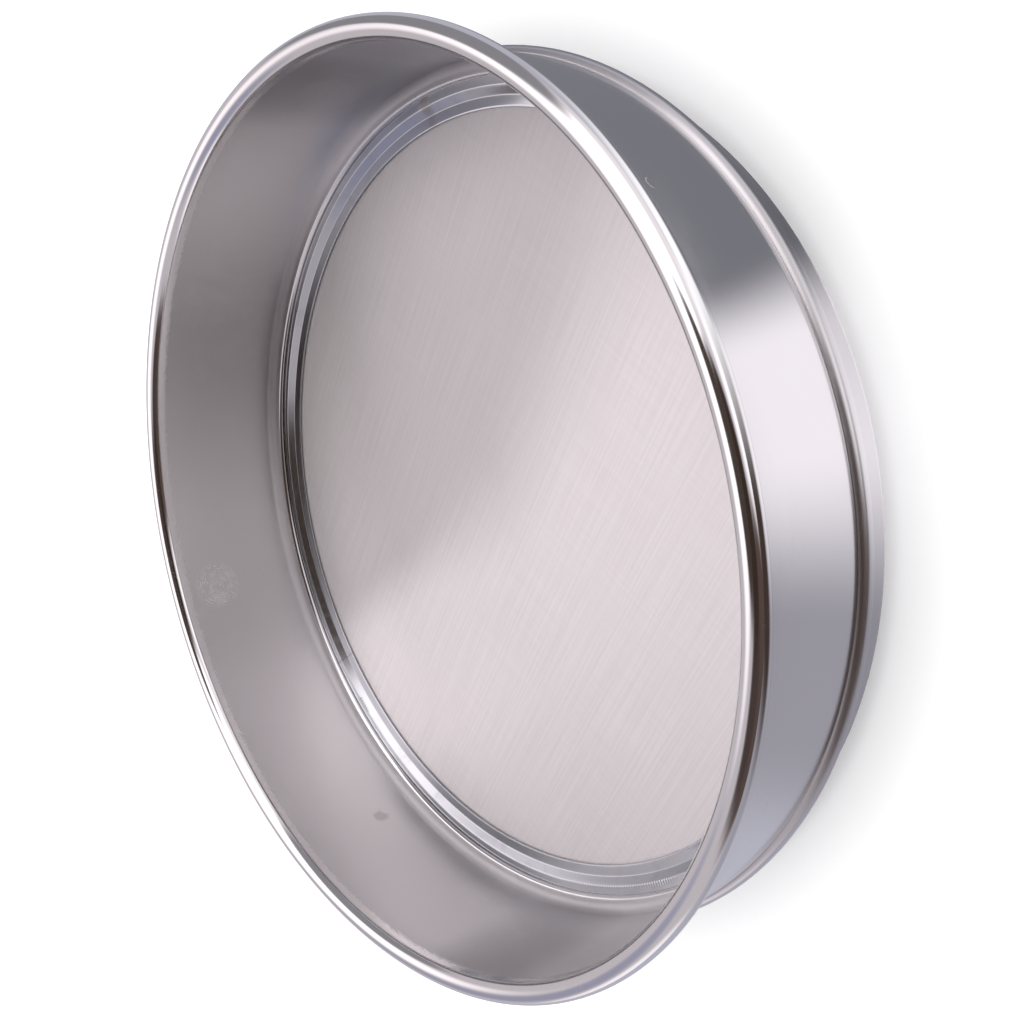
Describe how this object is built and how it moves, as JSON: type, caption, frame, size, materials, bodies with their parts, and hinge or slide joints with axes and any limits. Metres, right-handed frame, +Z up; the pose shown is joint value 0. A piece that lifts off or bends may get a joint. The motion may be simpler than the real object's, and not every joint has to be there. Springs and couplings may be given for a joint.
{
  "type": "soil sieve",
  "caption": "Round open-topped test sieve: rolled-rim metal frame with a shoulder and nesting skirt, and a fine woven wire cloth held by an inner ring.",
  "frame": {"origin": "centre of the circle that the skirt's bottom edge stands on", "axes": "+Z up along the sieve's axis, out of the open mouth; X and Y are any two level directions"},
  "size_m": [0.21, 0.21, 0.048],
  "materials": {
    "frame_steel": "bright polished outside, fine satin inside",
    "ring_steel": "bright rolled strip",
    "wire_cloth": "fine plain-woven wire, pale satin",
    "solder": "dull wiped solder"
  },
  "bodies": {
    "root": {"upper_frame": "frame_steel", "lower_skirt": "frame_steel", "mesh_cloth": "wire_cloth", "retaining_ring": "ring_steel", "support_ring": "ring_steel", "solder_seal": "solder"}
  },
  "joints": []
}
